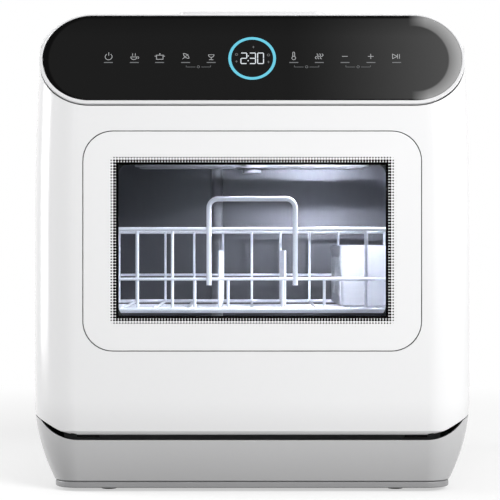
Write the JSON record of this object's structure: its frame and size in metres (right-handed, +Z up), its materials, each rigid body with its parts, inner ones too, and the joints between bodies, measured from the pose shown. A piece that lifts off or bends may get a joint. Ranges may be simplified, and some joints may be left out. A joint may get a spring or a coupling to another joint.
{
  "type": "countertop dishwasher",
  "caption": "Countertop dishwasher with a drop-down window door, sloping glass control panel, sliding dish rack, spray arms and a built-in water tank.",
  "frame": {"origin": "on the table under the middle of the machine's bounding box", "axes": "+Z up, the door faces -Y, +X to the right as seen from the front"},
  "size_m": [0.418, 0.435, 0.4614],
  "materials": {
    "white_shell": "gloss",
    "base_shell": "gloss",
    "lid_shell": "gloss",
    "plinth_plastic": "satin",
    "foot_rubber": "matt",
    "seal_rubber": "matt",
    "frame_plastic": "satin",
    "trim_finish": "gloss",
    "panel_glass": "gloss",
    "ring_light": "lit",
    "display_black": "gloss",
    "board_green": "satin",
    "rear_plate": "satin",
    "screw_steel": "satin",
    "tub_steel": "brushed",
    "hinge_steel": "satin",
    "filter_steel": "satin",
    "inner_plastic": "satin",
    "tank_plastic": "translucent look",
    "arm_plastic": "satin",
    "pump_black": "satin",
    "impeller_white": "satin",
    "heater_steel": "satin",
    "hose_rubber": "matt",
    "lamp_lens": "lit",
    "rail_steel": "satin",
    "rack_coating": "coated wire",
    "roller_plastic": "satin",
    "basket_plastic": "satin",
    "door_glass": "printed border, clear middle",
    "window_glass": "clear"
  },
  "bodies": {
    "cabinet": {"cabinet_shell": "white_shell", "control_housing": "white_shell", "base_tray": "base_shell", "plinth": "plinth_plastic", "rubber_feet": "foot_rubber", "door_seal": "seal_rubber", "front_frame": "frame_plastic", "control_trim": "trim_finish", "control_glass": "panel_glass", "light_ring": "ring_light", "display_module": "display_black", "control_board": "board_green", "back_panel": "rear_plate", "back_screws": "screw_steel", "inner_tub": "tub_steel", "hinge_bracket_left": "hinge_steel", "hinge_bracket_right": "hinge_steel", "filter_plate": "filter_steel", "fill_funnel": "inner_plastic", "sump": "inner_plastic", "lower_arm_hub": "inner_plastic", "upper_arm_hub": "inner_plastic", "feed_pipe": "inner_plastic", "drain_spigot": "inner_plastic", "float_switch": "inner_plastic", "water_tank": "tank_plastic", "circulation_pump": "pump_black", "drain_pump": "pump_black", "drying_fan_housing": "pump_black", "power_gland": "pump_black", "inlet_valve": "impeller_white", "water_heater": "heater_steel", "tank_hose": "hose_rubber", "drain_hose": "hose_rubber", "interior_lamp": "lamp_lens", "rack_rail_left": "rail_steel", "rack_rail_right": "rail_steel"},
    "door": {"door_outer": "white_shell", "door_glass": "door_glass", "door_inner": "tub_steel", "window_unit": "window_glass", "detergent_dispenser": "inner_plastic", "hinge_arm_left": "hinge_steel", "hinge_arm_right": "hinge_steel", "hinge_pins": "screw_steel"},
    "rack": {"dish_rack": "rack_coating", "rack_handle": "rack_coating", "cutlery_basket": "basket_plastic"},
    "front_rollers": {"rack_rollers_front": "roller_plastic"},
    "rear_rollers": {"rack_rollers_rear": "roller_plastic"},
    "lower_arm": {"lower_spray_arm": "arm_plastic"},
    "upper_arm": {"upper_spray_arm": "arm_plastic"},
    "filter": {"filter_cup": "filter_steel"},
    "dispenser_cover": {"dispenser_lid": "arm_plastic"},
    "tank_lid": {"fill_lid": "lid_shell", "fill_lid_pin": "screw_steel"},
    "float": {"leak_float": "impeller_white"},
    "fan": {"drying_fan_wheel": "impeller_white"},
    "wash_impeller": {"circulation_impeller": "impeller_white"},
    "waste_impeller": {"drain_impeller": "impeller_white"}
  },
  "joints": [
    {"name": "door_hinge", "type": "hinge", "parent": "cabinet", "child": "door", "pos_m": [0, -0.2035, 0.074], "axis": [1, 0, 0], "range_deg": [0, 90]},
    {"name": "rack_slide", "type": "slide", "parent": "cabinet", "child": "rack", "axis": [0, -1, 0], "range_m": [0, 0.192]},
    {"name": "front_roller_spin", "type": "hinge", "parent": "rack", "child": "front_rollers", "pos_m": [0, -0.105, 0.1513], "axis": [1, 0, 0], "range_deg": [0, 1000]},
    {"name": "rear_roller_spin", "type": "hinge", "parent": "rack", "child": "rear_rollers", "pos_m": [0, 0.1055, 0.1513], "axis": [1, 0, 0], "range_deg": [0, 1000]},
    {"name": "lower_arm_spin", "type": "hinge", "parent": "cabinet", "child": "lower_arm", "pos_m": [0, 0.00725, 0.128], "axis": [0, 0, 1], "continuous": true},
    {"name": "upper_arm_spin", "type": "hinge", "parent": "cabinet", "child": "upper_arm", "pos_m": [0, 0.00725, 0.32244], "axis": [0, 0, 1], "continuous": true},
    {"name": "filter_twist", "type": "hinge", "parent": "cabinet", "child": "filter", "pos_m": [0, 0.08525, 0.108], "axis": [0, 0, 1], "range_deg": [0, 60]},
    {"name": "dispenser_lid_slide", "type": "slide", "parent": "door", "child": "dispenser_cover", "axis": [1, 0, 0], "range_m": [0, 0.046]},
    {"name": "fill_lid_hinge", "type": "hinge", "parent": "cabinet", "child": "tank_lid", "pos_m": [0, -0.09, 0.4592], "axis": [-1, 0, 0], "range_deg": [0, 100]},
    {"name": "float_rise", "type": "slide", "parent": "cabinet", "child": "float", "axis": [0, 0, 1], "range_m": [0, 0.006]},
    {"name": "fan_spin", "type": "hinge", "parent": "cabinet", "child": "fan", "pos_m": [0, 0.1285, 0.35644], "axis": [0, 0, 1], "continuous": true},
    {"name": "wash_impeller_spin", "type": "hinge", "parent": "cabinet", "child": "wash_impeller", "pos_m": [-0.092, 0.08525, 0.058], "axis": [1, 0, 0], "continuous": true},
    {"name": "waste_impeller_spin", "type": "hinge", "parent": "cabinet", "child": "waste_impeller", "pos_m": [0.084, 0.08525, 0.05], "axis": [1, 0, 0], "continuous": true}
  ],
  "couplings": [
    {"joint": "rack_slide", "follows": "door_hinge", "m_per_rad": 0.122},
    {"joint": "front_roller_spin", "follows": "door_hinge", "ratio": 11.091},
    {"joint": "rear_roller_spin", "follows": "door_hinge", "ratio": 11.091}
  ]
}
